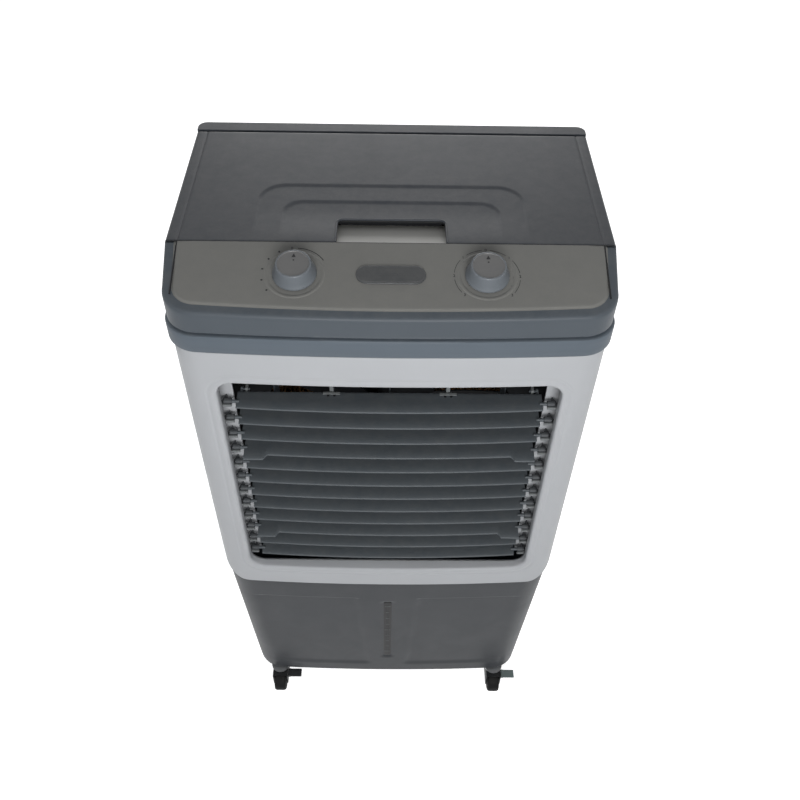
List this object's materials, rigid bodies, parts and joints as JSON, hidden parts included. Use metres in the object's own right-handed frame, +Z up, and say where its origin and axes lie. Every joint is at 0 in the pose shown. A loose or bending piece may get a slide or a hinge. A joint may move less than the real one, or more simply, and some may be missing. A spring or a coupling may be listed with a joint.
{
  "type": "evaporative cooler",
  "caption": "Portable evaporative cooler with a water tank on castors, a louvred front, a hinged lid and two control knobs.",
  "frame": {"origin": "on the floor under the middle of the cooler", "axes": "+Z up, -Y out of the louvred front, +X to the right of someone facing the front"},
  "size_m": [0.54, 0.38, 1.0305],
  "materials": {
    "tank_grey": "satin moulded plastic, dark blue-grey",
    "clear_window": "smoked clear plastic strip",
    "black_plastic": "black moulded plastic",
    "hose_rubber": "soft grey hose",
    "white_plastic": "white moulded plastic, satin",
    "pad_paper": "brown corrugated cellulose honeycomb",
    "zinc_steel": "zinc plated",
    "louvre_grey": "dark grey moulded plastic",
    "motor_steel": "black painted motor shell",
    "collar_grey": "blue-grey moulded plastic",
    "panel_grey": "mid grey moulded plastic",
    "badge_grey": "dark bare badge",
    "knob_grey": "grey moulded knob",
    "lid_grey": "dark grey fine-grained plastic",
    "pedal_grey": "grey-green moulded pedal",
    "wheel_rubber": "black tread"
  },
  "bodies": {
    "housing": {"water_tank": "tank_grey", "level_window": "clear_window", "pump": "black_plastic", "pump_hose": "hose_rubber", "water_distributor": "white_plastic", "cooling_pad": "pad_paper", "cabinet": "white_plastic", "rear_grille": "tank_grey", "cabinet_screws": "zinc_steel", "cord_gland": "black_plastic", "front_frame": "white_plastic", "louvre_side_rails": "louvre_grey", "louvre_mid_posts": "louvre_grey", "swing_motor": "motor_steel", "fan_shroud": "tank_grey", "fan_motor": "motor_steel", "top_collar": "collar_grey", "fill_tray": "tank_grey", "control_panel": "panel_grey", "badge_plate": "badge_grey", "rotary_switches": "black_plastic", "rear_strip": "lid_grey", "lid_hinge_pins": "zinc_steel", "castor_plates": "zinc_steel"},
    "lid": {"lid": "lid_grey"},
    "knob_left": {"knob_left": "knob_grey"},
    "knob_right": {"knob_right": "knob_grey"},
    "link_bars_upper": {"link_bars_upper": "louvre_grey"},
    "link_bars_lower": {"link_bars_lower": "louvre_grey"},
    "vane_tie_bar": {"vane_tie_bar": "louvre_grey"},
    "swing_crank": {"swing_crank": "black_plastic"},
    "fan_impeller": {"fan_impeller": "black_plastic"},
    "drain_plug": {"drain_plug": "black_plastic"},
    "brake_pedal_front_left": {"brake_pedal_front_left": "pedal_grey"},
    "brake_pedal_front_right": {"brake_pedal_front_right": "pedal_grey"},
    "louvre_blade_01": {"louvre_blade_01": "louvre_grey"},
    "louvre_blade_02": {"louvre_blade_02": "louvre_grey"},
    "louvre_blade_03": {"louvre_blade_03": "louvre_grey"},
    "louvre_blade_04": {"louvre_blade_04": "louvre_grey"},
    "louvre_blade_05": {"louvre_blade_05": "louvre_grey"},
    "louvre_blade_06": {"louvre_blade_06": "louvre_grey"},
    "louvre_blade_07": {"louvre_blade_07": "louvre_grey"},
    "louvre_blade_08": {"louvre_blade_08": "louvre_grey"},
    "louvre_blade_09": {"louvre_blade_09": "louvre_grey"},
    "louvre_blade_10": {"louvre_blade_10": "louvre_grey"},
    "louvre_blade_11": {"louvre_blade_11": "louvre_grey"},
    "louvre_blade_12": {"louvre_blade_12": "louvre_grey"},
    "swing_vane_1": {"swing_vane_1": "louvre_grey"},
    "swing_vane_2": {"swing_vane_2": "louvre_grey"},
    "swing_vane_3": {"swing_vane_3": "louvre_grey"},
    "swing_vane_4": {"swing_vane_4": "louvre_grey"},
    "swing_vane_5": {"swing_vane_5": "louvre_grey"},
    "castor_fork_front_left": {"castor_fork_front_left": "black_plastic"},
    "castor_fork_front_right": {"castor_fork_front_right": "black_plastic"},
    "castor_fork_rear_left": {"castor_fork_rear_left": "black_plastic"},
    "castor_fork_rear_right": {"castor_fork_rear_right": "black_plastic"},
    "castor_wheel_front_left": {"castor_wheel_front_left": "wheel_rubber"},
    "castor_wheel_front_right": {"castor_wheel_front_right": "wheel_rubber"},
    "castor_wheel_rear_left": {"castor_wheel_rear_left": "wheel_rubber"},
    "castor_wheel_rear_right": {"castor_wheel_rear_right": "wheel_rubber"}
  },
  "joints": [
    {"name": "lid_hinge", "type": "hinge", "parent": "housing", "child": "lid", "pos_m": [0, 0.163, 1.0105], "axis": [-1, 0, 0], "range_deg": [0, 80]},
    {"name": "knob_left_turn", "type": "hinge", "parent": "housing", "child": "knob_left", "pos_m": [-0.112, -0.128, 1.0074], "axis": [0, -0.1961, 0.9806], "range_deg": [-120, 0]},
    {"name": "knob_right_turn", "type": "hinge", "parent": "housing", "child": "knob_right", "pos_m": [0.112, -0.128, 1.0074], "axis": [0, -0.1961, 0.9806], "range_deg": [-135, 135]},
    {"name": "louvre_upper_tilt", "type": "hinge", "parent": "housing", "child": "louvre_blade_01", "pos_m": [0, -0.16, 0.8217], "axis": [1, 0, 0], "range_deg": [-30, 30]},
    {"name": "louvre_blade_02_tilt", "type": "hinge", "parent": "housing", "child": "louvre_blade_02", "pos_m": [0, -0.16, 0.7905], "axis": [1, 0, 0], "range_deg": [-30, 30]},
    {"name": "louvre_blade_03_tilt", "type": "hinge", "parent": "housing", "child": "louvre_blade_03", "pos_m": [0, -0.16, 0.7593], "axis": [1, 0, 0], "range_deg": [-30, 30]},
    {"name": "louvre_blade_04_tilt", "type": "hinge", "parent": "housing", "child": "louvre_blade_04", "pos_m": [0, -0.16, 0.7281], "axis": [1, 0, 0], "range_deg": [-30, 30]},
    {"name": "louvre_blade_05_tilt", "type": "hinge", "parent": "housing", "child": "louvre_blade_05", "pos_m": [0, -0.16, 0.6969], "axis": [1, 0, 0], "range_deg": [-30, 30]},
    {"name": "louvre_blade_06_tilt", "type": "hinge", "parent": "housing", "child": "louvre_blade_06", "pos_m": [0, -0.16, 0.6657], "axis": [1, 0, 0], "range_deg": [-30, 30]},
    {"name": "link_upper_swing", "type": "hinge", "parent": "louvre_blade_01", "child": "link_bars_upper", "pos_m": [0, -0.136, 0.8197], "axis": [1, 0, 0], "range_deg": [-30, 30]},
    {"name": "louvre_lower_tilt", "type": "hinge", "parent": "housing", "child": "louvre_blade_07", "pos_m": [0, -0.16, 0.6345], "axis": [1, 0, 0], "range_deg": [-30, 30]},
    {"name": "louvre_blade_08_tilt", "type": "hinge", "parent": "housing", "child": "louvre_blade_08", "pos_m": [0, -0.16, 0.6033], "axis": [1, 0, 0], "range_deg": [-30, 30]},
    {"name": "louvre_blade_09_tilt", "type": "hinge", "parent": "housing", "child": "louvre_blade_09", "pos_m": [0, -0.16, 0.5721], "axis": [1, 0, 0], "range_deg": [-30, 30]},
    {"name": "louvre_blade_10_tilt", "type": "hinge", "parent": "housing", "child": "louvre_blade_10", "pos_m": [0, -0.16, 0.5409], "axis": [1, 0, 0], "range_deg": [-30, 30]},
    {"name": "louvre_blade_11_tilt", "type": "hinge", "parent": "housing", "child": "louvre_blade_11", "pos_m": [0, -0.16, 0.5097], "axis": [1, 0, 0], "range_deg": [-30, 30]},
    {"name": "louvre_blade_12_tilt", "type": "hinge", "parent": "housing", "child": "louvre_blade_12", "pos_m": [0, -0.16, 0.4785], "axis": [1, 0, 0], "range_deg": [-30, 30]},
    {"name": "link_lower_swing", "type": "hinge", "parent": "louvre_blade_07", "child": "link_bars_lower", "pos_m": [0, -0.136, 0.6325], "axis": [1, 0, 0], "range_deg": [-30, 30]},
    {"name": "vane_swing", "type": "hinge", "parent": "housing", "child": "swing_vane_1", "pos_m": [-0.152, -0.117, 0.67], "axis": [0, 0, 1], "range_deg": [-30, 30]},
    {"name": "vane_2_swing", "type": "hinge", "parent": "housing", "child": "swing_vane_2", "pos_m": [-0.076, -0.117, 0.67], "axis": [0, 0, 1], "range_deg": [-30, 30]},
    {"name": "vane_3_swing", "type": "hinge", "parent": "housing", "child": "swing_vane_3", "pos_m": [0, -0.117, 0.67], "axis": [0, 0, 1], "range_deg": [-30, 30]},
    {"name": "vane_4_swing", "type": "hinge", "parent": "housing", "child": "swing_vane_4", "pos_m": [0.076, -0.117, 0.67], "axis": [0, 0, 1], "range_deg": [-30, 30]},
    {"name": "vane_5_swing", "type": "hinge", "parent": "housing", "child": "swing_vane_5", "pos_m": [0.152, -0.117, 0.67], "axis": [0, 0, 1], "range_deg": [-30, 30]},
    {"name": "tie_bar_swing", "type": "hinge", "parent": "swing_vane_1", "child": "vane_tie_bar", "pos_m": [-0.152, -0.101, 0.875], "axis": [0, 0, 1], "range_deg": [-30, 30]},
    {"name": "crank_turn", "type": "hinge", "parent": "housing", "child": "swing_crank", "pos_m": [0.188, -0.101, 0.882], "axis": [0, 0, 1], "continuous": true},
    {"name": "fan_spin", "type": "hinge", "parent": "housing", "child": "fan_impeller", "pos_m": [0, -0.05, 0.67], "axis": [0, 1, 0], "continuous": true},
    {"name": "drain_pull", "type": "slide", "parent": "housing", "child": "drain_plug", "axis": [0, 1, 0], "range_m": [0, 0.03]},
    {"name": "castor_swivel_front_left", "type": "hinge", "parent": "housing", "child": "castor_fork_front_left", "pos_m": [-0.207, -0.15, 0.046], "axis": [0, 0, 1], "continuous": true},
    {"name": "castor_roll_front_left", "type": "hinge", "parent": "castor_fork_front_left", "child": "castor_wheel_front_left", "pos_m": [-0.207, -0.168, 0.021], "axis": [1, 0, 0], "continuous": true},
    {"name": "brake_press_front_left", "type": "hinge", "parent": "castor_fork_front_left", "child": "brake_pedal_front_left", "pos_m": [-0.1897, -0.1625, 0.0365], "axis": [0, 1, 0], "range_deg": [0, 15]},
    {"name": "castor_swivel_front_right", "type": "hinge", "parent": "housing", "child": "castor_fork_front_right", "pos_m": [0.207, -0.15, 0.046], "axis": [0, 0, 1], "continuous": true},
    {"name": "castor_roll_front_right", "type": "hinge", "parent": "castor_fork_front_right", "child": "castor_wheel_front_right", "pos_m": [0.207, -0.168, 0.021], "axis": [1, 0, 0], "continuous": true},
    {"name": "brake_press_front_right", "type": "hinge", "parent": "castor_fork_front_right", "child": "brake_pedal_front_right", "pos_m": [0.2243, -0.1625, 0.0365], "axis": [0, 1, 0], "range_deg": [0, 15]},
    {"name": "castor_swivel_rear_left", "type": "hinge", "parent": "housing", "child": "castor_fork_rear_left", "pos_m": [-0.207, 0.145, 0.046], "axis": [0, 0, 1], "continuous": true},
    {"name": "castor_roll_rear_left", "type": "hinge", "parent": "castor_fork_rear_left", "child": "castor_wheel_rear_left", "pos_m": [-0.207, 0.127, 0.021], "axis": [1, 0, 0], "continuous": true},
    {"name": "castor_swivel_rear_right", "type": "hinge", "parent": "housing", "child": "castor_fork_rear_right", "pos_m": [0.207, 0.145, 0.046], "axis": [0, 0, 1], "continuous": true},
    {"name": "castor_roll_rear_right", "type": "hinge", "parent": "castor_fork_rear_right", "child": "castor_wheel_rear_right", "pos_m": [0.207, 0.127, 0.021], "axis": [1, 0, 0], "continuous": true}
  ],
  "couplings": [
    {"joint": "louvre_blade_02_tilt", "follows": "louvre_upper_tilt", "ratio": 1},
    {"joint": "louvre_blade_03_tilt", "follows": "louvre_upper_tilt", "ratio": 1},
    {"joint": "louvre_blade_04_tilt", "follows": "louvre_upper_tilt", "ratio": 1},
    {"joint": "louvre_blade_05_tilt", "follows": "louvre_upper_tilt", "ratio": 1},
    {"joint": "louvre_blade_06_tilt", "follows": "louvre_upper_tilt", "ratio": 1},
    {"joint": "link_upper_swing", "follows": "louvre_upper_tilt", "ratio": -1},
    {"joint": "louvre_blade_08_tilt", "follows": "louvre_lower_tilt", "ratio": 1},
    {"joint": "louvre_blade_09_tilt", "follows": "louvre_lower_tilt", "ratio": 1},
    {"joint": "louvre_blade_10_tilt", "follows": "louvre_lower_tilt", "ratio": 1},
    {"joint": "louvre_blade_11_tilt", "follows": "louvre_lower_tilt", "ratio": 1},
    {"joint": "louvre_blade_12_tilt", "follows": "louvre_lower_tilt", "ratio": 1},
    {"joint": "link_lower_swing", "follows": "louvre_lower_tilt", "ratio": -1},
    {"joint": "vane_2_swing", "follows": "vane_swing", "ratio": 1},
    {"joint": "vane_3_swing", "follows": "vane_swing", "ratio": 1},
    {"joint": "vane_4_swing", "follows": "vane_swing", "ratio": 1},
    {"joint": "vane_5_swing", "follows": "vane_swing", "ratio": 1},
    {"joint": "tie_bar_swing", "follows": "vane_swing", "ratio": -1}
  ]
}
